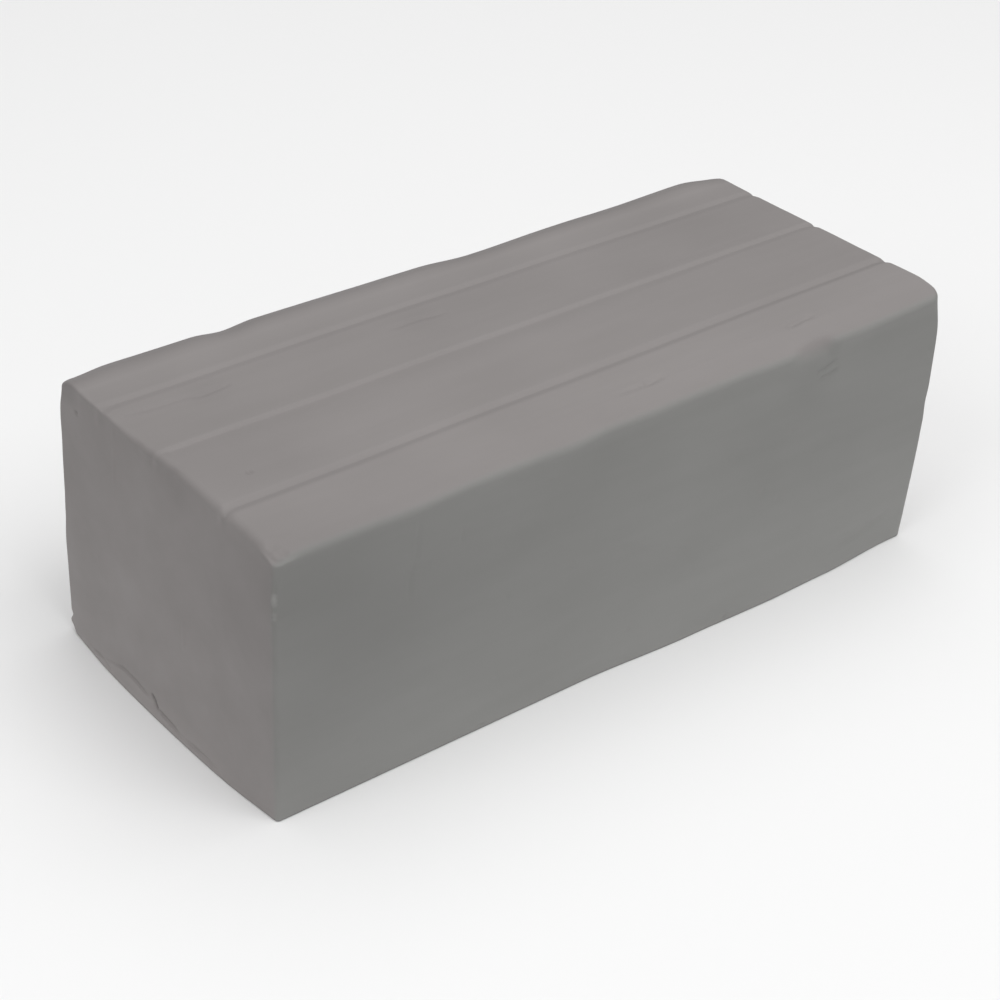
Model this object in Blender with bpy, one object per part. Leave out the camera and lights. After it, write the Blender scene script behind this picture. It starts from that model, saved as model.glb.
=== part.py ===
"""Detailing clay bar: one length cut from an extruded, scored block of soft clay.

Units are metres.  The bar lies on z = 0 with its length along X and its front long side
towards -Y.  The origin is under the middle of its bounding box.
"""

import math

import bmesh
import bpy

# Overall size.  The strips, from back to front, are parted by score lines along the top
LENGTH = 0.0915
STRIP_WIDTHS = (0.0074, 0.0108, 0.0116, 0.0098)
WIDTH = sum(STRIP_WIDTHS)
HEIGHT = 0.0326

# The top: one low crown over the whole width, highest a little in front of the middle, and
# on it the V-shaped score lines with a slight crown on each strip between them
BAR_CROWN = 0.0006
CROWN_Y = -0.006
STRIP_CROWN = 0.0001
SCORE_WIDTH = 0.0018
SCORE_DEPTH = 0.0004
STRIP_STEPS = 8

# Rounded edges
TOP_EDGE_RADIUS = 0.0014
BOTTOM_EDGE_RADIUS = 0.0004
END_EDGE_RADIUS = 0.0005
ARC_STEPS = 5

# How far the soft bar departs from a true block: the knife leans at both ends and is turned
# a little at the right one, and the top is twisted along the length
LEFT_LEAN = 0.00026
RIGHT_LEAN = 0.0015
RIGHT_TURN = 0.0007
TOP_TWIST = 0.0006
BODY_STATIONS = 12

CLAY_COLOUR = (0.262, 0.252, 0.240, 1.0)
CLAY_ROUGHNESS = 0.55


def clear_scene():
    for obj in list(bpy.data.objects):
        bpy.data.objects.remove(obj, do_unlink=True)


def arc(centre, radius, start_deg, end_deg):
    """Points of a rounded edge in the (y, z) plane."""
    points = []
    for step in range(ARC_STEPS + 1):
        angle = math.radians(start_deg + (end_deg - start_deg) * step / ARC_STEPS)
        points.append((centre[0] + radius * math.cos(angle),
                       centre[1] + radius * math.sin(angle)))
    return points


def crowned(y):
    """Height of the whole bar's crown, where the strips meet."""
    return HEIGHT - STRIP_CROWN - BAR_CROWN * ((y - CROWN_Y) / (WIDTH / 2)) ** 2


def score_centres():
    """Y of each score line, from the back to the front."""
    centres = []
    edge = WIDTH / 2
    for width in STRIP_WIDTHS[:-1]:
        edge -= width
        centres.append(edge)
    return centres


def strip_top(y_from, y_to):
    """The slightly crowned top of one strip, without its first and last point."""
    points = []
    for step in range(1, STRIP_STEPS):
        across = step / STRIP_STEPS
        y = y_from + (y_to - y_from) * across
        points.append((y, crowned(y) + STRIP_CROWN * 4 * across * (1 - across)))
    return points


def top_outline():
    """The top from the back edge to the front edge: crowned strips and V-shaped scores."""
    points = []
    strip_start = WIDTH / 2 - TOP_EDGE_RADIUS
    for centre in score_centres():
        strip_end = centre + SCORE_WIDTH / 2
        points += strip_top(strip_start, strip_end)
        strip_start = centre - SCORE_WIDTH / 2
        points += [(strip_end, crowned(strip_end)),
                   (centre, crowned(centre) - SCORE_DEPTH),
                   (strip_start, crowned(strip_start))]
    return points + strip_top(strip_start, TOP_EDGE_RADIUS - WIDTH / 2)


def section():
    """The extruded outline in (y, z), counterclockwise seen from the right end."""
    low_y = WIDTH / 2 - BOTTOM_EDGE_RADIUS
    high_y = WIDTH / 2 - TOP_EDGE_RADIUS
    back_z = crowned(high_y) - TOP_EDGE_RADIUS
    front_z = crowned(-high_y) - TOP_EDGE_RADIUS
    return (arc((-low_y, BOTTOM_EDGE_RADIUS), BOTTOM_EDGE_RADIUS, 180, 270)
            + arc((low_y, BOTTOM_EDGE_RADIUS), BOTTOM_EDGE_RADIUS, 270, 360)
            + arc((high_y, back_z), TOP_EDGE_RADIUS, 0, 90)
            + top_outline()
            + arc((-high_y, front_z), TOP_EDGE_RADIUS, 90, 180))


def stations():
    """(x, inset) of every cross-section: rounded end edges and an even run between them."""
    rounded = []
    for step in range(ARC_STEPS + 1):
        angle = math.radians(90 * step / ARC_STEPS)
        rounded.append((END_EDGE_RADIUS * (1 - math.cos(angle)),
                        END_EDGE_RADIUS * (1 - math.sin(angle))))
    left = [(along - LENGTH / 2, inset) for along, inset in rounded]
    right = [(LENGTH / 2 - along, inset) for along, inset in reversed(rounded)]
    run = LENGTH - 2 * END_EDGE_RADIUS
    between = [(-run / 2 + run * step / BODY_STATIONS, 0.0) for step in range(1, BODY_STATIONS)]
    return left + between + right


def hand_cut(x, y, z):
    """Move a point of the true block to where it lies on the leaning, twisted bar."""
    along = x / LENGTH + 0.5
    across = 2 * y / WIDTH
    rise = z / HEIGHT
    left_shift = LEFT_LEAN * rise
    right_shift = -RIGHT_LEAN * (1 - rise) - RIGHT_TURN * (1 - across) / 2
    twist = -TOP_TWIST * (2 * along - 1) * across
    return (x + (1 - along) * left_shift + along * right_shift, y, z + twist * rise)


def ring(mesh, outline, x, inset):
    """One cross-section, drawn in towards its middle by the inset."""
    scale_y = 1 - inset / (WIDTH / 2)
    scale_z = 1 - inset / (HEIGHT / 2)
    verts = []
    for y, z in outline:
        inner_z = HEIGHT / 2 + (z - HEIGHT / 2) * scale_z
        verts.append(mesh.verts.new(hand_cut(x, y * scale_y, inner_z)))
    return verts


def build_bar_mesh():
    """Skin the cross-sections and close both ends."""
    mesh = bmesh.new()
    outline = section()
    rings = [ring(mesh, outline, x, inset) for x, inset in stations()]
    count = len(outline)
    for near, far in zip(rings, rings[1:]):
        for index in range(count):
            following = (index + 1) % count
            mesh.faces.new((near[index], near[following], far[following], far[index]))
    mesh.faces.new(list(reversed(rings[0])))
    mesh.faces.new(rings[-1])
    return mesh


def clay_material():
    material = bpy.data.materials.new("grey_clay")
    material.use_nodes = True
    shader = material.node_tree.nodes["Principled BSDF"]
    shader.inputs["Base Color"].default_value = CLAY_COLOUR
    shader.inputs["Roughness"].default_value = CLAY_ROUGHNESS
    shader.inputs["Metallic"].default_value = 0.0
    return material


def make_clay_bar():
    mesh = build_bar_mesh()
    data = bpy.data.meshes.new("clay_bar")
    mesh.to_mesh(data)
    mesh.free()
    data.materials.append(clay_material())
    data.shade_smooth()
    data.set_sharp_from_angle(angle=math.radians(30))
    bar = bpy.data.objects.new("clay_bar", data)
    bpy.context.scene.collection.objects.link(bar)
    return bar


clear_scene()
make_clay_bar()
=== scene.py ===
"""The looks of a detailing clay bar: a soft, hand-cut block of grey clay, scored along its top.

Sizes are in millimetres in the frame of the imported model.  The bar lies along X with its front
long side towards -Y, and z = 0 is the surface that it rests on.
"""

import math

import bmesh
import bpy
import numpy as np
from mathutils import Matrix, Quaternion, Vector


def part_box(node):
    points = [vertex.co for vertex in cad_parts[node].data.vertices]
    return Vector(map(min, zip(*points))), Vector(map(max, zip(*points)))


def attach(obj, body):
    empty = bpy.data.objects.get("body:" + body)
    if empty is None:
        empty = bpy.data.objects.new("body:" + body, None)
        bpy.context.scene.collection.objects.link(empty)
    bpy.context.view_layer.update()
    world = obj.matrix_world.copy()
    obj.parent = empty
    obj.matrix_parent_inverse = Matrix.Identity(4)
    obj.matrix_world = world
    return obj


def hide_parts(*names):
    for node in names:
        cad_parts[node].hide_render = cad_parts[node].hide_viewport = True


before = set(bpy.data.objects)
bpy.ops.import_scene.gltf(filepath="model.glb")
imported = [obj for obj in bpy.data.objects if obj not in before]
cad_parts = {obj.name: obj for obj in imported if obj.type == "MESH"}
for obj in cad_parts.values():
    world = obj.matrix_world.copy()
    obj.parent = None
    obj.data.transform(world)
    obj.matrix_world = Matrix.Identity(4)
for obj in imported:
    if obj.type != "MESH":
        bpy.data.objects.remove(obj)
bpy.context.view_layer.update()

MM = 0.001

# The block that the clay was before it was handled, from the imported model
cad_low, cad_high = (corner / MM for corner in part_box("clay_bar"))
HALF_LENGTH = (cad_high.x - cad_low.x) / 2
HALF_WIDTH = (cad_high.y - cad_low.y) / 2
TWIST = 0.6
HEIGHT = cad_high.z - TWIST / 2

# Top: a flat table between a long front shoulder and a short steep back one
TABLE_DROP = 0.12
CROWN = 0.12
CROWN_Y = -4.0
FRONT_SHOULDER = ((-44, 0.3), (-36, 0.4), (-29, 0.75), (-21, 0.5), (-14, 0.7), (-8.5, 1.05),
                  (-4.5, 0.6), (2, 0.85), (14, 0.85), (21, 1.25), (28, 1.15), (33, 1.35),
                  (40, 1.2), (46, 0.9))
FRONT_SHOULDER_WIDTH = 4.5
FRONT_SHOULDER_OVERRUN = 1.3
BACK_SHOULDER_SLOPE = 0.46
BACK_SHOULDER_WIDTH = 2.7
BACK_SHOULDER_SOFTNESS = 0.3
BACK_EDGE_RISE = ((-45, 0.45), (-40, 0.85), (-30, 0.9), (-25.8, 0.45), (-22, 0.75), (0, 0.7),
                  (8, 0.25), (25, 0.55), (40, 0.75), (46.5, 0.0))
BACK_EDGE_BAND = (6.0, 2.0)

# Score lines, which part the top into four strips: each is a shallow valley with one wall that
# faces the front and one that faces the back, which grows wider or narrower from X to X.  The
# valleys curl to the front at both ends of the bar
SCORE_LINES = (12.1, 1.5, -10.2)
SCORE_DEPTHS = (0.20, 0.24, 0.27)
SCORE_BACK_WALLS = (0.60, 0.45, 0.75)
SCORE_FRONT_WALLS = ((0.9, 1.0), (2.2, 0.9), (1.1, 0.9))
SCORE_WALL_CHANGE = (0.0, 35.0)
SCORE_STARTS = (-1.0, 0.6, -1.0)
SCORE_FADE = 2.0
SCORE_CURL = 0.7
SCORE_CURL_BAND = (-2.0, 0.3)
STRIP_CROWN = 0.06
SUNK_STRIP = 0.25
SUNK_STRIP_RISES_TO = -15.0
SUNK_STRIP_RISE = 0.7

# Ends: the right one leans in towards the table, the left one flares out at its foot
RIGHT_LEAN = 1.65
RIGHT_LEAN_FROM = 24.0
RIGHT_TOP_TURN = 0.3
RIGHT_GROOVE = (18.0, 2.4)
RIGHT_GROOVE_DEPTH = 0.15
LEFT_TOP_FROM = 26.0
LEFT_TOP_LEAN = ((-19.8, 0.25), (-14, 0.55), (-2, 0.5), (4, 0.2), (10, 0.1), (17, -0.1))
LIP_REACH = 0.92
LIP_MIDDLE = 0.5
LIP_FULLNESS = 2.6
LIP_HEIGHT = 7.0
LIP_CRACK = ((-12, 0.4), (-2.6, 0.75), (1.9, 1.1), (3.2, 1.75), (9.0, 1.9), (14.0, 0.9))
LIP_STEP = 0.09
LIP_STEP_WIDTH = 0.3
LIP_STEP_ENDS = (-17.0, -12.0)

# Long sides
BACK_BULGE = ((0, 0.0), (0.6, 0.4), (1.3, 1.1), (2.3, 0.6), (3.0, 0.9), (12, 1.0), (16, 0.7),
              (19, 0.55), (27, 0.35), (31, 0.05))
BACK_BULGE_REACH = 22.0
BACK_OFFSET = 0.2
BACK_OFFSET_FADE = 8.0
FOOT_SPREAD = ((-6, 0.0), (10, 0.65), (22, 0.9), (30, 0.75), (42, 0.1))
FOOT_SPREAD_HEIGHT = 8.0

# Where a finger tip has pressed the front edge flat: how deep along X, and which way it faces
PRESS = ((20.0, -0.3), (24.2, 1.15), (27.9, 1.15), (29.3, -0.4))
PRESS_FACING = (0.0, -0.88, 0.47)
PRESS_SOFTNESS = 0.3

# Edge radii along X or Y, and the radii of the upright corners at mid height and at the top.
# Near a corner the edge radius blends those of both sides, and the nearer side pulls harder
FRONT_EDGES = ((-45, 0.75), (5, 0.65), (25, 0.5), (45, 0.45))
BACK_EDGE = 0.7
LEFT_EDGES = ((-16, 0.95), (4, 0.8), (13, 0.3))
RIGHT_EDGE = 0.45
FOOT_EDGE = 0.15
LEFT_CORNERS = (0.5, 1.4)
LEFT_CORNERS_FROM = 29.0
RIGHT_CORNERS = (0.6, 1.7)
RIGHT_CORNERS_FROM = 27.0
LEAST_EDGE = 0.3
EDGE_BLEND = 0.8
PULL_REACH = 30.0
LEAST_PULL = 1e-12

# The faces that carry marks: the two coordinates over each, and the way that it looks.  A mark
# fades out where the surface turns away from its face, and a crease towards both its ends
FACES = {"front": ((0, 2), (0, -1, 0)), "left": ((1, 2), (-1, 0, 0)), "top": ((0, 1), (0, 0, 1))}
FACING_BAND = (0.35, 0.75)
TAPER_BAND = (-0.05, 0.2)

# Creases, cuts and scratches: face, half width, depth and route over that face.  One with a
# negative depth is a raised line
CREASES = (
    ("front", 0.50, 0.10, ((-28.5, 30.0), (-28.8, 25.4), (-29.6, 23.3), (-29.5, 20.0))),
    ("front", 0.45, 0.07, ((-23.0, 27.0), (-23.2, 25.0))),
    ("front", 0.70, 0.08, ((-5.0, 17.5), (-1.0, 16.0), (2.5, 14.0), (8.0, 12.0), (10.0, 11.0))),
    ("front", 0.70, 0.08, ((31.0, 3.0), (36.0, 3.4), (42.5, 5.0))),
    ("front", 0.35, 0.16, ((29.3, 29.0), (28.5, 29.0), (27.2, 28.5), (25.8, 28.4))),
    ("front", 0.35, 0.17, ((29.6, 27.9), (28.2, 27.6), (26.3, 27.6))),
    ("left", 0.30, -0.05, ((9.3, 33.0), (9.4, 24.0))),
    ("left", 0.30, -0.09, ((-3.3, 15.4), (-3.1, 11.4))),
    ("left", 0.30, -0.14, ((-19.5, 27.7), (-19.5, 26.9))),
    ("left", 0.30, -0.10, ((-19.5, 25.6), (-19.5, 24.9))),
    ("left", 0.24, 0.08, ((15.4, 0.75), (13.8, 0.9), (12.4, 0.8), (11.4, 0.65), (10.7, 0.4))),
    ("left", 0.24, 0.11, ((10.8, 1.4), (9.0, 1.95), (6.3, 1.9), (4.6, 1.65), (3.2, 1.6))),
    ("left", 0.26, 0.36, ((3.3, 2.1), (2.5, 1.7), (1.7, 1.05))),
    ("left", 0.24, 0.15, ((2.0, 1.15), (-0.1, 1.0), (-2.6, 0.75))),
    ("left", 0.24, 0.11, ((-4.0, 0.68), (-7.3, 0.72), (-10.1, 0.45))),
    ("top", 0.50, 0.03, ((-30.0, -15.6), (45.0, -15.6))),
    ("top", 0.70, 0.26, ((24.5, -15.8), (27.3, -15.4), (28.9, -15.4))),
    ("top", 0.60, 0.12, ((0.0, -15.7), (5.4, -15.9))),
    ("top", 0.75, 0.20, ((3.8, -15.8), (6.6, -15.6))),
    ("top", 0.50, 0.16, ((-44.0, 9.6), (-40.0, 9.3), (-33.0, 9.2))),
    ("top", 0.55, 0.22, ((-36.6, 8.7), (-34.0, 8.8), (-31.4, 9.1))),
    ("top", 0.65, 0.20, ((-11.5, 8.7), (-8.0, 8.9), (-3.6, 8.5))),
    ("top", 0.60, 0.03, ((-14.0, 5.0), (2.0, 5.0))),
    ("top", 0.60, 0.03, ((8.0, 3.2), (40.0, 3.2))),
)

# Pits, nicks and finger marks: face, radius, depth and place on that face
PITS = (
    ("front", 0.6, 0.13, (0.3, 4.4)),
    ("front", 0.6, 0.10, (-18.2, 6.4)),
    ("front", 0.7, 0.08, (-8.3, 16.6)),
    ("front", 0.7, 0.08, (-17.0, 16.0)),
    ("front", 0.6, 0.08, (-36.0, 6.3)),
    ("front", 0.6, 0.08, (-37.2, 12.9)),
    ("front", 0.7, 0.08, (23.0, 22.0)),
    ("front", 0.9, 0.10, (19.5, 15.2)),
    ("front", 0.7, 0.08, (22.0, 13.5)),
    ("front", 0.7, 0.06, (-12.0, 28.5)),
    ("front", 0.7, 0.06, (8.5, 28.0)),
    ("front", 0.6, 0.08, (-41.6, 12.3)),
    ("front", 0.6, 0.25, (-33.5, 0.3)),
    ("front", 0.6, 0.25, (-19.7, 0.3)),
    ("front", 0.6, 0.25, (14.8, 0.3)),
    ("left", 0.5, 0.20, (16.3, 30.2)),
    ("left", 1.1, 0.08, (4.6, 31.7)),
    ("left", 1.0, 0.07, (2.0, 31.6)),
    ("left", 1.3, 0.09, (-1.6, 31.5)),
    ("left", 1.0, 0.06, (-9.4, 31.4)),
    ("top", 0.45, 0.40, (-39.4, -6.2)),
    ("top", 3.4, 0.30, (-45.4, -19.6)),
    ("top", 0.9, 0.16, (-44.3, -17.6)),
    ("top", 0.7, 0.16, (-43.9, -18.9)),
    ("top", 1.2, 0.06, (-4.0, 16.2)),
    ("top", 1.0, 0.05, (-0.5, 15.7)),
)

# Clay: its darkest and lightest colour, how much cooler it is on the front side, how much
# paler painted light makes the lip at the foot of the left end, and the bands inside or outside
# the block's sides over which it changes
CLAY_DARK = (0.2205, 0.2065, 0.2022, 1.0)
CLAY_LIGHT = (0.2405, 0.2252, 0.2215, 1.0)
UNTINTED = (1.0, 1.0, 1.0, 1.0)
FRONT_TINT = (0.965, 1.026, 1.010, 1.0)
FRONT_TINT_BAND = (0.8, 0.2)
LIP_PAINTED_LIGHT = 1.13
LIP_PAINTED_LIGHT_BAND = (-0.2, -0.6)

# How light the clay is across the top, from the front to the back, where 0.5 keeps the colour
# as it is. Between the score lines it is the strips' own tone. On the score walls and the back
# shoulder it is painted shade and painted light over their real geometry: the walls that face
# the back and the back shoulder are painted darker, and the walls that face the front painted
# lighter
TONE_REACH = 20.0
PLAIN_TONE = (0.5, 0.5, 0.5, 1.0)
TOP_TONES_FROM = (30.0, 31.4)
TONES_AND_PAINTED_SHADE_ACROSS = ((-19.8, 0.515), (-15.0, 0.523), (-11.2, 0.520), (-10.8, 0.485), (-10.4, 0.482),
                (-10.2, 0.500), (-10.0, 0.520), (-9.5, 0.518), (-9.1, 0.500), (0.4, 0.498),
                (1.2, 0.494), (1.5, 0.522), (1.9, 0.530), (2.2, 0.496), (10.9, 0.490),
                (11.4, 0.483), (12.0, 0.485), (12.2, 0.514), (12.7, 0.514), (13.0, 0.498),
                (15.0, 0.500), (15.6, 0.512), (16.2, 0.486), (17.0, 0.450), (19.8, 0.444))

# Where the bar is darker or lighter than the rest: broad faint areas, the largest of which is
# painted shade that evens out how the lamps fall off over the front; painted shade along the top
# of the left end and beside the creases on the top; painted shade and light in the pressed dent;
# and painted highlights on the chips of the near upright edge: middle, radius and share of light
PATCHES_OF_TONE_AND_PAINTED_LIGHT = (((-37.0, -4.0, 32.0), 12.0, 0.935), ((18.0, 15.5, 32.0), 14.0, 1.04),
           ((-40.0, -27.0, 20.0), 30.0, 0.80), ((-12.0, -30.0, 20.0), 28.0, 0.94),
           ((30.0, 7.0, 32.0), 13.0, 0.98), ((38.0, 20.0, 32.0), 9.0, 1.06),
           ((-2.0, 8.0, 32.0), 9.0, 0.985), ((8.0, -15.0, 32.0), 16.0, 1.015),
           ((25.0, -20.0, 28.0), 6.0, 0.95), ((-46.0, 15.0, 33.0), 8.0, 0.96),
           ((-46.0, -2.0, 33.0), 9.0, 0.965), ((-34.5, 8.9, 32.4), 4.0, 0.96),
           ((-7.5, 8.8, 32.4), 4.5, 0.965), ((-38.0, -14.0, 34.0), 8.0, 1.05),
           ((-45.6, -19.7, 27.8), 0.5, 1.25), ((-45.6, -19.7, 27.3), 0.5, 1.3),
           ((-45.6, -19.7, 26.8), 0.5, 1.2), ((-45.6, -19.7, 25.6), 0.5, 1.15),
           ((-45.6, -19.7, 25.1), 0.4, 1.15), ((-46.2, 1.0, 31.3), 3.0, 0.95),
           ((-46.2, -2.6, 31.0), 3.2, 0.95), ((-46.0, -17.0, 17.0), 15.0, 1.055),
           ((36.0, -20.0, 21.0), 15.0, 0.955), ((-38.0, 16.0, 32.4), 7.0, 0.965),
           ((20.0, 7.0, 32.4), 8.0, 0.965), ((0.0, -4.0, 32.4), 8.0, 1.035),
           ((-19.0, -14.0, 32.4), 8.0, 1.02), ((23.5, -19.2, 31.2), 3.0, 1.05),
           ((28.2, -19.4, 31.1), 2.0, 0.94), ((-45.4, 1.6, 32.6), 2.0, 0.965))

# The surface grid: how far it starts outside the block, its spacing in the middle of a face,
# near its edges, over the score lines and at the foot, how wide the finer bands are, at how many
# of their widths the spacing is open again, and the insets of the rim around the underside
GRID_MARGINS = {"left": 0.3, "right": 0.5, "front": 0.8, "back": 1.8, "top": 0.8}
OPEN_SPACING = 0.72
EDGE_SPACING = 0.24
SCORE_SPACING = 0.16
FOOT_SPACING = 0.15
FINE_BAND = 1.8
TOP_FINE_BAND = 2.0
LINE_FINE_BAND = 1.2
OPEN_AT = 2.5
RIM_INSETS = (0.4, 1.0, 2.2)

# Around the marks the grid is finer: how far beyond each, how much the surface has to face it
# and how often each grid line is cut
CREASE_MARGIN = 0.3
PIT_MARGIN = 0.4
LEAST_FACING = 0.1
MARK_CUTS = 2

# How far to each side the surface is felt for the way that it faces
NORMAL_STEP = 0.03

# The heart: a core block inside the bar, from which every point of the surface is reached
HEART_INSET = 4.0
HEART_LIFT = 1.0
HEART_LOW = np.array((HEART_INSET - HALF_LENGTH, HEART_INSET - HALF_WIDTH, HEART_LIFT))
HEART_HIGH = np.array((HALF_LENGTH - HEART_INSET, HALF_WIDTH - HEART_INSET, HEIGHT - HEART_INSET))
FARTHEST_REACH = 1.4
HALVINGS = 24

# Uneven surface: the long waves, the streaks left along the bar, the knife's drag up and down
# the ends and the knocks of handling.  Each has its seed, its shortest and longest wave, how far
# it is drawn out along X, Y and Z, and a height.  The drag is on what faces the ends only, and
# all of it fades out towards the table
LONG_WAVES = (11, 16.0, 60.0)
WAVE_HEIGHT = 0.05
LONG_STREAKS = (12, 1.6, 7.0, (12.0, 1.0, 1.0))
STREAK_HEIGHT = 0.003
KNIFE_DRAG = (13, 1.2, 5.0, (1.0, 1.0, 10.0))
DRAG_HEIGHT = 0.002
HANDLING = (14, 2.5, 9.0)
HANDLING_HEIGHT = 0.003
END_FACING_BAND = (0.4, 0.8)
RESTING_BAND = 0.8

# Noise in the clay: how far it is drawn out along X, Y and Z, its scale, detail and roughness,
# and what share the streaks and blotches have in the colour and the grain in the bump
STREAKS = ((14.0, 1.0, 1.0), 700.0, 2.0)
STREAK_SHARE = 0.2
BLOTCHES = ((2.0, 1.0, 1.0), 90.0, 3.0)
BLOTCH_SHARE = 0.8
POLISH = ((4.0, 1.0, 1.0), 160.0, 3.0)
GRAIN = ((1.0, 1.0, 1.0), 2600.0, 4.0, 0.6)
GRAIN_SHARE = 0.15
DIMPLES = ((1.6, 1.0, 1.0), 420.0, 3.0)

# Gloss: how rough the clay is, from its polished to its dull places, how strongly it reflects,
# and how strong and how high its bump is
ROUGHNESS = (0.56, 0.70)
CLAY_IOR = 1.45
CLAY_SPECULAR = 0.25
BUMP_STRENGTH = 0.25
BUMP_HEIGHT = 0.03

# Studio, in metres and watts: the matte floor, the even light from all around, and the soft boxes
# with their places, aims, widths, depths and powers.  The glow is what a pale table sends back up
FLOOR_REACH = 3.0
FLOOR_DROP = 0.00002
FLOOR_COLOUR = (0.84, 0.84, 0.84)
FLOOR_ROUGHNESS = 0.9
FLOOR_SPECULAR = 0.2
SKY_STRENGTH = 0.35
BAR_CENTRE = (0.0, 0.0, 0.015)
SOFT_BOXES = (
    ("overhead_box", (0.10, 0.05, 0.70), BAR_CENTRE, 0.9, 0.9, 3.05),
    ("front_box", (0.08, -0.40, 0.62), BAR_CENTRE, 0.5, 0.5, 2.02),
    ("left_box", (-0.50, -0.05, 0.45), BAR_CENTRE, 0.4, 0.4, 0.90),
    ("table_glow", (0.0, 0.0, 0.0001), (0.0, 0.0, 1.0), 0.12, 0.07, 0.0098),
)

# Camera: its viewing angle, the point that it looks at and its distance from that point
CAMERA_LENS = 88.12
CAMERA_SENSOR = 36.0
CAMERA_CLIP = 10.0
CAMERA_HEADING = 39.87
CAMERA_DIP = 33.18
CAMERA_ROLL = 2.62
CAMERA_AIM = Vector((-2.62, -0.76, 12.33))
CAMERA_DISTANCE = 274.2


def smooth(value, low, high):
    """0 below low, 1 above high, and an S-shaped rise between them."""
    t = np.clip((value - low) / (high - low), 0.0, 1.0)
    return t * t * (3.0 - 2.0 * t)


def slope(value, low, high, softness=0.12):
    """0 below low, 1 above high, a straight rise between them and softened bends."""
    t = (value - low) / (high - low)
    return 0.5 * (np.sqrt(t * t + softness ** 2) - np.sqrt((t - 1) ** 2 + softness ** 2) + 1)


def swell(value, centre, reach):
    """1 at the centre, falling in an S to 0 at the reach on both sides."""
    return 1.0 - smooth(np.abs(value - centre), 0.0, reach)


def glide(value, route):
    """A smooth line through the route's (place, height) points."""
    result = np.full(np.shape(value), float(route[0][1]))
    for (start, first), (end, last) in zip(route, route[1:]):
        result += (last - first) * smooth(value, start, end)
    return result


class Ripples:
    """Seeded waves of mixed length and direction, of unit strength; larger stretch means
    longer waves along that axis."""

    def __init__(self, seed, shortest, longest, stretch=(1.0, 1.0, 1.0), count=28):
        rng = np.random.default_rng(seed)
        heading = rng.normal(size=(count, 3))
        heading /= np.linalg.norm(heading, axis=1)[:, None]
        length = np.exp(rng.uniform(math.log(shortest), math.log(longest), count))
        self.waves = 2 * math.pi * heading / length[:, None] / np.array(stretch)
        self.phase = rng.uniform(0, 2 * math.pi, count)
        self.scale = math.sqrt(2 / count)

    def __call__(self, points):
        total = np.zeros(len(points))
        for wave, phase in zip(self.waves, self.phase):
            total += np.sin(points @ wave + phase)
        return total * self.scale


def score(x, y, line, depth, back_wall, front_walls, start):
    """One score line's valley; its front wall changes in width from the left to the right."""
    left_wall, right_wall = front_walls
    front_wall = left_wall + (right_wall - left_wall) * smooth(x, *SCORE_WALL_CHANGE)
    back = 1.0 - slope(y, line, line + back_wall)
    front = 1.0 - slope((line - y) / front_wall, 0.0, 1.0)
    begun = smooth(x + HALF_LENGTH, start, start + SCORE_FADE)
    return -depth * np.minimum(back, front) * begun


def top_face(x, y):
    """Height of the top."""
    height = HEIGHT - TABLE_DROP - CROWN * ((y - CROWN_Y) / HALF_WIDTH) ** 2
    height = height - TWIST * (x / HALF_LENGTH) * (y / HALF_WIDTH)
    edges = (HALF_WIDTH,) + SCORE_LINES + (-HALF_WIDTH,)
    for back, front in zip(edges, edges[1:]):
        across = np.clip((y - front) / (back - front), 0.0, 1.0)
        height = height + STRIP_CROWN * 4 * across * (1 - across)
    curl_from, curl_to = (HALF_LENGTH + place for place in SCORE_CURL_BAND)
    curl = SCORE_CURL * smooth(np.abs(x), curl_from, curl_to)
    for each in zip(SCORE_LINES, SCORE_DEPTHS, SCORE_BACK_WALLS, SCORE_FRONT_WALLS, SCORE_STARTS):
        height = height + score(x, y + curl, *each)
    back_line, middle_line, _ = SCORE_LINES
    sunk = swell(y, (back_line + middle_line) / 2, (back_line - middle_line) / 2)
    risen = SUNK_STRIP_RISE * smooth(x, -HALF_LENGTH, SUNK_STRIP_RISES_TO)
    height = height - SUNK_STRIP * sunk * (1.0 - risen)
    front = (-y - HALF_WIDTH + FRONT_SHOULDER_WIDTH) / FRONT_SHOULDER_WIDTH
    front = np.clip(front, 0.0, FRONT_SHOULDER_OVERRUN)
    past = y - HALF_WIDTH + BACK_SHOULDER_WIDTH
    back = 0.5 * (past + np.sqrt(past ** 2 + BACK_SHOULDER_SOFTNESS ** 2))
    height = height - glide(x, FRONT_SHOULDER) * front ** 2 - BACK_SHOULDER_SLOPE * back
    rise_from, rise_to = (HALF_WIDTH - inset for inset in BACK_EDGE_BAND)
    return height + glide(x, BACK_EDGE_RISE) * smooth(y, rise_from, rise_to)


def left_face(y, z):
    """X of the left end, with the lip of dragged clay at its foot."""
    t = (y - LIP_MIDDLE) / HALF_WIDTH
    reach = LIP_REACH * np.clip(1.0 - np.abs(t) ** LIP_FULLNESS, 0.0, 1.0)
    foot = np.clip(1.0 - z / LIP_HEIGHT, 0.0, 1.0) ** 3
    crack = glide(y, LIP_CRACK)
    step = LIP_STEP * (1.0 - smooth(z, crack - LIP_STEP_WIDTH, crack))
    step = step * smooth(-np.abs(y), *LIP_STEP_ENDS)
    lean = glide(y, LEFT_TOP_LEAN) * smooth(z, LEFT_TOP_FROM, HEIGHT)
    return lean - HALF_LENGTH - reach * foot - step


def right_face(y, z):
    """X of the right end."""
    low = np.clip((RIGHT_LEAN_FROM - z) / RIGHT_LEAN_FROM, 0.0, 1.0)
    high = np.clip((z - RIGHT_LEAN_FROM) / (HEIGHT - RIGHT_LEAN_FROM), 0.0, 1.0)
    turn = RIGHT_TOP_TURN * (0.5 - 0.5 * y / HALF_WIDTH)
    groove = RIGHT_GROOVE_DEPTH * swell(z, *RIGHT_GROOVE)
    return HALF_LENGTH - RIGHT_LEAN * low ** 2 - turn * high ** 2 - groove


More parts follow.
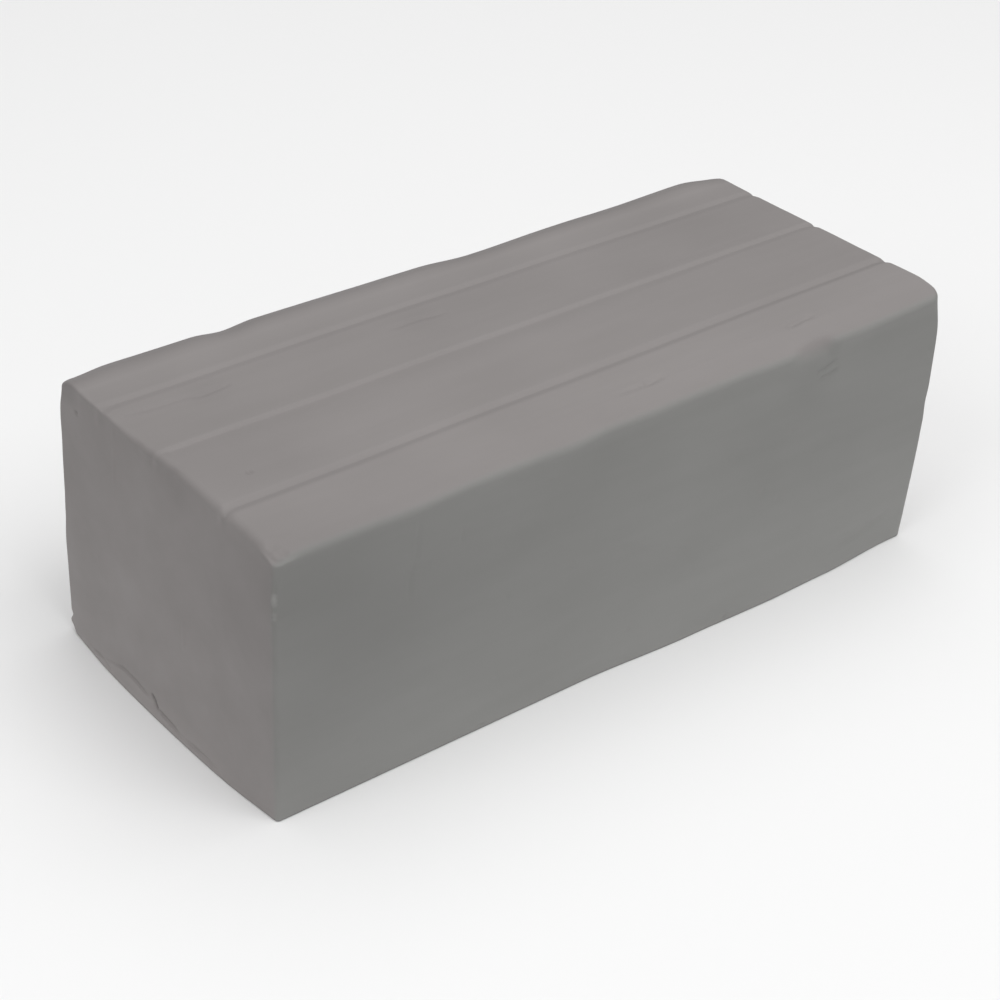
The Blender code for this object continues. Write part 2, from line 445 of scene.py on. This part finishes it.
def front_face(x, z):
    """Y of the front side."""
    return -HALF_WIDTH - glide(x, FOOT_SPREAD) * (1.0 - smooth(z, 0.0, FOOT_SPREAD_HEIGHT))


def back_face(x, z):
    """Y of the back side."""
    bulge = glide(z, BACK_BULGE) * (1.0 - smooth(x, -HALF_LENGTH, BACK_BULGE_REACH - HALF_LENGTH))
    offset = BACK_OFFSET * smooth(-np.abs(x), -HALF_LENGTH, BACK_OFFSET_FADE - HALF_LENGTH)
    return HALF_WIDTH + np.maximum(offset, bulge)


def rounded(a, b, radius):
    """How far a point is outside two faces that meet in an edge of this radius."""
    past = np.hypot(np.maximum(a + radius, 0.0), np.maximum(b + radius, 0.0))
    return np.minimum(np.maximum(a, b), -radius) + past


def blended(a, b, softness):
    """The larger of the two, with the fold between them softened."""
    return 0.5 * (a + b + np.sqrt((a - b) ** 2 + softness ** 2))


def clearance(points):
    """How far each point is outside the bar; it is negative inside."""
    x, y, z = points.T
    left = left_face(y, z) - x
    right = x - right_face(y, z)
    front = front_face(x, z) - y
    back = y - back_face(x, z)
    low_left, high_left = LEFT_CORNERS
    low_right, high_right = RIGHT_CORNERS
    left_rise = smooth(z, LEFT_CORNERS_FROM, HEIGHT)
    right_rise = smooth(z, RIGHT_CORNERS_FROM, HEIGHT)
    corner = np.where(x < 0, low_left + (high_left - low_left) * left_rise,
                      low_right + (high_right - low_right) * right_rise)
    plan = rounded(np.maximum(left, right), np.maximum(front, back), corner)
    pull = np.exp(np.clip(np.stack((front, back, left, right)), -PULL_REACH, 0.0) / EDGE_BLEND)
    radii = (glide(x, FRONT_EDGES), BACK_EDGE, glide(y, LEFT_EDGES), RIGHT_EDGE)
    edge = sum(radius * each for radius, each in zip(radii, pull))
    edge = edge / np.maximum(pull.sum(0), LEAST_PULL)
    upper = rounded(plan, z - top_face(x, y), np.maximum(edge, LEAST_EDGE))
    lower = rounded(plan, -z, FOOT_EDGE)
    front_edge = np.array((0.0, -HALF_WIDTH, HEIGHT))
    pressed = (points - front_edge) @ np.array(PRESS_FACING) + glide(x, PRESS)
    return blended(np.where(z > HEIGHT / 2, upper, lower), pressed, PRESS_SOFTNESS)


def settle(points):
    """Move each point along the line from the bar's heart until it lies on the surface."""
    heart = np.clip(points, HEART_LOW, HEART_HIGH)
    reach = points - heart
    inside = np.zeros(len(points))
    outside = np.full(len(points), FARTHEST_REACH)
    for _ in range(HALVINGS):
        middle = (inside + outside) / 2
        out = clearance(heart + reach * middle[:, None]) > 0
        outside = np.where(out, middle, outside)
        inside = np.where(out, inside, middle)
    return heart + reach * inside[:, None]


def surface_normals(points):
    """Which way the surface faces at each point."""
    rise = np.empty_like(points)
    for axis in range(3):
        shift = np.zeros(3)
        shift[axis] = NORMAL_STEP
        rise[:, axis] = clearance(points + shift) - clearance(points - shift)
    return rise / np.linalg.norm(rise, axis=1)[:, None]


def on_face(face, normals):
    """1 where the surface looks the way the face does, 0 where it looks elsewhere."""
    return smooth(normals @ np.array(FACES[face][1], float), *FACING_BAND)


def route_gap(places, route):
    """Distance to a route, and how far along it the nearest point is, from 0 to 1."""
    spots = np.array(route, float)
    spans = np.linalg.norm(np.diff(spots, axis=0), axis=1)
    gap = np.full(len(places), np.inf)
    along = np.zeros(len(places))
    done = 0.0
    for start, end, span in zip(spots, spots[1:], spans):
        t = np.clip((places - start) @ (end - start) / span ** 2, 0.0, 1.0)
        reach = np.linalg.norm(places - start - t[:, None] * (end - start), axis=1)
        along = np.where(reach < gap, (done + t * span) / spans.sum(), along)
        gap = np.minimum(reach, gap)
        done += span
    return gap, along


def marks(points, normals):
    """Depth of every crease and pit, and whether a point is near enough to one to be refined."""
    depth = np.zeros(len(points))
    near = np.zeros(len(points), bool)
    for face, width, cut, route in CREASES:
        places = points[:, FACES[face][0]]
        gap, along = route_gap(places, route)
        facing = on_face(face, normals)
        taper = smooth(np.minimum(along, 1 - along), *TAPER_BAND)
        depth += cut * facing * taper * (1.0 - smooth(gap, 0.0, width))
        near |= (gap < width + CREASE_MARGIN) & (facing > LEAST_FACING)
    for face, radius, cut, place in PITS:
        gap = np.linalg.norm(points[:, FACES[face][0]] - np.array(place), axis=1)
        facing = on_face(face, normals)
        depth += cut * facing * (1.0 - smooth(gap, 0.0, radius))
        near |= (gap < radius + PIT_MARGIN) & (facing > LEAST_FACING)
    return depth, near


def stations(low, high, step_at):
    """Places from low to high, each a step from the last; the step depends on the place."""
    places = [low]
    while places[-1] < high:
        places.append(places[-1] + step_at(places[-1]))
    stretch = (high - low) / (places[-1] - low)
    return [low + (place - low) * stretch for place in places]


def spacing_near(place, edges, fine, band):
    """Grid spacing that grows from fine, at the edges, to the open spacing past the band."""
    gap = min(abs(place - edge) for edge in edges)
    return fine + (OPEN_SPACING - fine) * float(smooth(gap, band, OPEN_AT * band))


def grid_stations():
    """Grid lines around and over the bar, along X, Y and Z."""
    left = -HALF_LENGTH - LIP_REACH - GRID_MARGINS["left"]
    right = HALF_LENGTH + GRID_MARGINS["right"]
    front = -HALF_WIDTH - GRID_MARGINS["front"]
    back = HALF_WIDTH + GRID_MARGINS["back"]
    top = HEIGHT + GRID_MARGINS["top"]

    def step_x(x):
        return spacing_near(x, (left, right), EDGE_SPACING, FINE_BAND)

    def step_y(y):
        edge = spacing_near(y, (front, back), EDGE_SPACING, FINE_BAND)
        return min(edge, spacing_near(y, SCORE_LINES, SCORE_SPACING, LINE_FINE_BAND))

    def step_z(z):
        edge = spacing_near(z, (top,), EDGE_SPACING, TOP_FINE_BAND)
        return min(edge, spacing_near(z, (0.0,), FOOT_SPACING, LINE_FINE_BAND))

    return (stations(left, right, step_x), stations(front, back, step_y),
            stations(0.0, top, step_z))


def block_grid():
    """Corners and faces of a gridded block; its underside is one face inside a narrow rim."""
    xs, ys, zs = grid_stations()
    last_x, last_y, last_z = len(xs) - 1, len(ys) - 1, len(zs) - 1
    points = []
    index = {}

    def corner(i, j, k):
        if (i, j, k) not in index:
            index[(i, j, k)] = len(points)
            points.append((xs[i], ys[j], zs[k]))
        return index[(i, j, k)]

    faces = []
    for i in range(last_x):
        for j in range(last_y):
            faces.append((corner(i, j, last_z), corner(i + 1, j, last_z),
                          corner(i + 1, j + 1, last_z), corner(i, j + 1, last_z)))
    loop = ([(i, 0) for i in range(last_x)] + [(last_x, j) for j in range(last_y)]
            + [(i, last_y) for i in range(last_x, 0, -1)] + [(0, j) for j in range(last_y, 0, -1)])
    for (i, j), (after_i, after_j) in zip(loop, loop[1:] + loop[:1]):
        for k in range(last_z):
            faces.append((corner(i, j, k), corner(after_i, after_j, k),
                          corner(after_i, after_j, k + 1), corner(i, j, k + 1)))
    rim = [corner(i, j, 0) for i, j in loop]
    centre = np.array(((xs[0] + xs[-1]) / 2, (ys[0] + ys[-1]) / 2, 0.0))
    for inset in RIM_INSETS:
        inner = []
        for i, j in loop:
            place = np.array((xs[i], ys[j], 0.0))
            half = np.array((xs[-1] - xs[0], ys[-1] - ys[0], 2.0)) / 2
            inner.append(len(points))
            points.append(tuple(centre + (place - centre) * (half - inset) / half))
        for at in range(len(loop)):
            after = (at + 1) % len(loop)
            faces.append((rim[after], rim[at], inner[at], inner[after]))
        rim = inner
    faces.append(tuple(reversed(rim)))
    return np.array(points), faces


def refined(points, faces):
    """The grid with the faces around each mark divided more finely."""
    mesh = bmesh.new()
    verts = [mesh.verts.new(point) for point in points]
    for face in faces:
        mesh.faces.new([verts[at] for at in face])
    on_bar = settle(points)
    _, near = marks(on_bar, surface_normals(on_bar))
    mesh.verts.index_update()
    edges = set()
    for face in mesh.faces:
        if len(face.verts) == 4 and any(near[vert.index] for vert in face.verts):
            edges.update(face.edges)
    ordered = [edge for edge in mesh.edges if edge in edges]
    bmesh.ops.subdivide_edges(mesh, edges=ordered, cuts=MARK_CUTS, use_grid_fill=True)
    return mesh


def unevenness(places, normals):
    """How far the waves, streaks and knocks lift the surface at each place."""
    wave = Ripples(*LONG_WAVES)
    streak = Ripples(*LONG_STREAKS)
    drag = Ripples(*KNIFE_DRAG)
    handling = Ripples(*HANDLING)
    ends = smooth(np.abs(normals[:, 0]), *END_FACING_BAND)
    lift = WAVE_HEIGHT * wave(places) + HANDLING_HEIGHT * handling(places)
    lift += STREAK_HEIGHT * streak(places) * (1 - ends) + DRAG_HEIGHT * drag(places) * ends
    return lift


def make_bar():
    """The bar: the refined grid laid on the surface, made uneven and marked."""
    points, faces = block_grid()
    mesh = refined(points, faces)
    places = settle(np.array([vert.co[:] for vert in mesh.verts]))
    normals = surface_normals(places)
    depth, _ = marks(places, normals)
    push = unevenness(places, normals) - depth
    free = smooth(places[:, 2], 0.0, RESTING_BAND)
    places += normals * (push * free)[:, None]
    for vert, place in zip(mesh.verts, places):
        vert.co = Vector(place) * MM
    data = bpy.data.meshes.new("clay_bar_body")
    mesh.to_mesh(data)
    mesh.free()
    data.shade_smooth()
    bar = bpy.data.objects.new("clay_bar_body", data)
    bpy.context.scene.collection.objects.link(bar)
    return bar


def link(tree, source, target):
    tree.links.new(source, target)


def vector_math(tree, operation):
    node = tree.nodes.new("ShaderNodeVectorMath")
    node.operation = operation
    return node


def noise(tree, coordinates, stretch, scale, detail=3.0, roughness=0.5):
    """Noise over the object's own coordinates, drawn out along the axes by the stretch."""
    mapping = tree.nodes.new("ShaderNodeMapping")
    mapping.inputs["Scale"].default_value = [1.0 / each for each in stretch]
    link(tree, coordinates, mapping.inputs["Vector"])
    node = tree.nodes.new("ShaderNodeTexNoise")
    node.inputs["Scale"].default_value = scale
    node.inputs["Detail"].default_value = detail
    node.inputs["Roughness"].default_value = roughness
    link(tree, mapping.outputs["Vector"], node.inputs["Vector"])
    return node.outputs["Fac"]


def remap(tree, value, low, high, from_low=0.3, from_high=0.7):
    """The value moved to low..high; noise comes mostly between 0.3 and 0.7."""
    node = tree.nodes.new("ShaderNodeMapRange")
    node.inputs["From Min"].default_value = from_low
    node.inputs["From Max"].default_value = from_high
    node.inputs["To Min"].default_value = low
    node.inputs["To Max"].default_value = high
    link(tree, value, node.inputs["Value"])
    return node.outputs["Result"]


def combine(tree, operation, first, second):
    node = tree.nodes.new("ShaderNodeMath")
    node.operation = operation
    link(tree, first, node.inputs[0])
    link(tree, second, node.inputs[1])
    return node.outputs["Value"]


def mixed(tree, share, first, second):
    """One colour turning into another as the share grows from 0 to 1."""
    node = tree.nodes.new("ShaderNodeMix")
    node.data_type = "RGBA"
    for source, target in ((share, node.inputs[0]), (first, node.inputs[6]),
                           (second, node.inputs[7])):
        if isinstance(source, tuple):
            target.default_value = source
        else:
            link(tree, source, target)
    return node.outputs[2]


def tone_and_painted_shade_across(tree, coordinates):
    """How light the clay is over the width of the top: the strips' own tone, and painted
    shade and painted light on the score walls and edge bands.
    """
    split = tree.nodes.new("ShaderNodeSeparateXYZ")
    link(tree, coordinates, split.inputs["Vector"])
    ramp = tree.nodes.new("ShaderNodeValToRGB")
    stops = ramp.color_ramp.elements
    stops.remove(stops[1])
    for number, (place, tone) in enumerate(TONES_AND_PAINTED_SHADE_ACROSS):
        position = place / (2 * TONE_REACH) + 0.5
        stop = stops.new(position) if number else stops[0]
        stop.position = position
        stop.color = (tone, tone, tone, 1.0)
    across = remap(tree, split.outputs["Y"], 0.0, 1.0, -TONE_REACH * MM, TONE_REACH * MM)
    link(tree, across, ramp.inputs["Fac"])
    height = remap(tree, split.outputs["Z"], 0.0, 1.0, *(each * MM for each in TOP_TONES_FROM))
    return mixed(tree, height, PLAIN_TONE, ramp.outputs["Color"])


def patched(tree, coordinates, colour):
    """The colour with every darker or lighter patch laid over it: patches of tone, painted
    shade and painted highlights.
    """
    for middle, radius, share in PATCHES_OF_TONE_AND_PAINTED_LIGHT:
        gap = vector_math(tree, "DISTANCE")
        gap.inputs[1].default_value = [each * MM for each in middle]
        link(tree, coordinates, gap.inputs[0])
        fade = tree.nodes.new("ShaderNodeMapRange")
        fade.interpolation_type = "SMOOTHSTEP"
        fade.inputs["From Min"].default_value = 0.0
        fade.inputs["From Max"].default_value = radius * MM
        fade.inputs["To Min"].default_value = share
        fade.inputs["To Max"].default_value = 1.0
        link(tree, gap.outputs["Value"], fade.inputs["Value"])
        shaded = vector_math(tree, "SCALE")
        link(tree, colour, shaded.inputs[0])
        link(tree, fade.outputs["Result"], shaded.inputs["Scale"])
        colour = shaded.outputs["Vector"]
    return colour


def sided(tree, coordinates, colour):
    """The colour, cooler on the front long side, with painted light making the lip that the knife
    dragged out paler.
    """
    split = tree.nodes.new("ShaderNodeSeparateXYZ")
    link(tree, coordinates, split.inputs["Vector"])
    front = remap(tree, split.outputs["Y"], 0.0, 1.0,
                  *((inset - HALF_WIDTH) * MM for inset in FRONT_TINT_BAND))
    tint = vector_math(tree, "MULTIPLY")
    link(tree, colour, tint.inputs[0])
    link(tree, mixed(tree, front, UNTINTED, FRONT_TINT), tint.inputs[1])
    # Painted light: the lip at the foot of the left end is made paler
    lip = remap(tree, split.outputs["X"], 1.0, LIP_PAINTED_LIGHT,
                *((inset - HALF_LENGTH) * MM for inset in LIP_PAINTED_LIGHT_BAND))
    paler = vector_math(tree, "SCALE")
    link(tree, tint.outputs["Vector"], paler.inputs[0])
    link(tree, lip, paler.inputs["Scale"])
    return paler.outputs["Vector"]


def clay_material():
    """Grey clay: toned over the top, with painted shade and light on the score walls and back
    shoulder, patched with tone, painted shade and painted highlights, tinted, painted paler on the
    lip, and unevenly rough.
    """
    material = bpy.data.materials.new("grey_clay_looks")
    material.use_nodes = True
    tree = material.node_tree
    shader = tree.nodes["Principled BSDF"]
    coordinates = tree.nodes.new("ShaderNodeTexCoord").outputs["Object"]

    streaks = noise(tree, coordinates, *STREAKS)
    blotches = noise(tree, coordinates, *BLOTCHES)
    tone = combine(tree, "ADD", remap(tree, streaks, -STREAK_SHARE, STREAK_SHARE),
                   remap(tree, blotches, -BLOTCH_SHARE, BLOTCH_SHARE))
    clay = mixed(tree, remap(tree, tone, 0.0, 1.0, -1.0, 1.0), CLAY_DARK, CLAY_LIGHT)
    # Tone across the top, with painted shade and painted light on the score walls and back
    # shoulder
    across = vector_math(tree, "SCALE")
    across.inputs["Scale"].default_value = 1.0 / PLAIN_TONE[0]
    link(tree, tone_and_painted_shade_across(tree, coordinates), across.inputs[0])
    colour = vector_math(tree, "MULTIPLY")
    link(tree, clay, colour.inputs[0])
    link(tree, across.outputs["Vector"], colour.inputs[1])
    # Patches of tone, painted shade and painted highlights
    with_patches_of_painted_light = patched(tree, coordinates, colour.outputs["Vector"])
    link(tree, sided(tree, coordinates, with_patches_of_painted_light), shader.inputs["Base Color"])

    polish = noise(tree, coordinates, *POLISH)
    link(tree, remap(tree, polish, *ROUGHNESS), shader.inputs["Roughness"])

    grain = noise(tree, coordinates, *GRAIN)
    dimples = noise(tree, coordinates, *DIMPLES)
    surface = combine(tree, "ADD", remap(tree, grain, 0.0, GRAIN_SHARE),
                      remap(tree, dimples, 0.0, 1.0))
    bump = tree.nodes.new("ShaderNodeBump")
    bump.inputs["Strength"].default_value = BUMP_STRENGTH
    bump.inputs["Distance"].default_value = BUMP_HEIGHT * MM
    link(tree, surface, bump.inputs["Height"])
    link(tree, bump.outputs["Normal"], shader.inputs["Normal"])
    shader.inputs["IOR"].default_value = CLAY_IOR
    shader.inputs["Specular IOR Level"].default_value = CLAY_SPECULAR
    return material


def floor_material():
    material = bpy.data.materials.new("pale_floor")
    material.use_nodes = True
    shader = material.node_tree.nodes["Principled BSDF"]
    shader.inputs["Base Color"].default_value = (*FLOOR_COLOUR, 1.0)
    shader.inputs["Roughness"].default_value = FLOOR_ROUGHNESS
    shader.inputs["Specular IOR Level"].default_value = FLOOR_SPECULAR
    return material


def make_floor():
    """A square floor, a hair below the bar's underside."""
    data = bpy.data.meshes.new("floor")
    corners = [(x * FLOOR_REACH, y * FLOOR_REACH, -FLOOR_DROP)
               for x, y in ((-1, -1), (1, -1), (1, 1), (-1, 1))]
    data.from_pydata(corners, [], [(0, 1, 2, 3)])
    data.materials.append(floor_material())
    floor = bpy.data.objects.new("floor", data)
    bpy.context.scene.collection.objects.link(floor)
    return floor


def soft_box(name, place, aim, width, depth, power):
    """A rectangular soft box at a place, turned to face its aim."""
    data = bpy.data.lights.new(name, "AREA")
    data.shape = "RECTANGLE"
    data.size = width
    data.size_y = depth
    data.energy = power
    light = bpy.data.objects.new(name, data)
    light.location = place
    light.visible_camera = False
    light.rotation_mode = "QUATERNION"
    light.rotation_quaternion = (Vector(aim) - Vector(place)).to_track_quat("-Z", "Y")
    bpy.context.scene.collection.objects.link(light)


def make_lights():
    """Even light from all around, and the soft boxes."""
    world = bpy.data.worlds.new("studio")
    world.use_nodes = True
    background = world.node_tree.nodes["Background"]
    background.inputs["Color"].default_value = (1.0, 1.0, 1.0, 1.0)
    background.inputs["Strength"].default_value = SKY_STRENGTH
    bpy.context.scene.world = world
    for each in SOFT_BOXES:
        soft_box(*each)


def make_camera():
    """The camera, aimed by its heading, dip and roll at a point inside the bar."""
    heading = math.radians(CAMERA_HEADING)
    dip = math.radians(CAMERA_DIP)
    look = Vector((math.sin(heading) * math.cos(dip), math.cos(heading) * math.cos(dip),
                   -math.sin(dip)))
    data = bpy.data.cameras.new("camera")
    data.lens = CAMERA_LENS
    data.sensor_width = CAMERA_SENSOR
    data.clip_start = CAMERA_CLIP * MM
    camera = bpy.data.objects.new("camera", data)
    camera.location = (CAMERA_AIM - look * CAMERA_DISTANCE) * MM
    camera.rotation_mode = "QUATERNION"
    roll = Quaternion((0.0, 0.0, 1.0), math.radians(CAMERA_ROLL))
    camera.rotation_quaternion = look.to_track_quat("-Z", "Y") @ roll
    bpy.context.scene.collection.objects.link(camera)
    bpy.context.scene.camera = camera


make_camera()
make_lights()
bpy.context.scene.view_settings.view_transform = "Standard"

floor = make_floor()

bar = make_bar()
bar.data.materials.append(clay_material())
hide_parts("clay_bar")
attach(bar, "root")
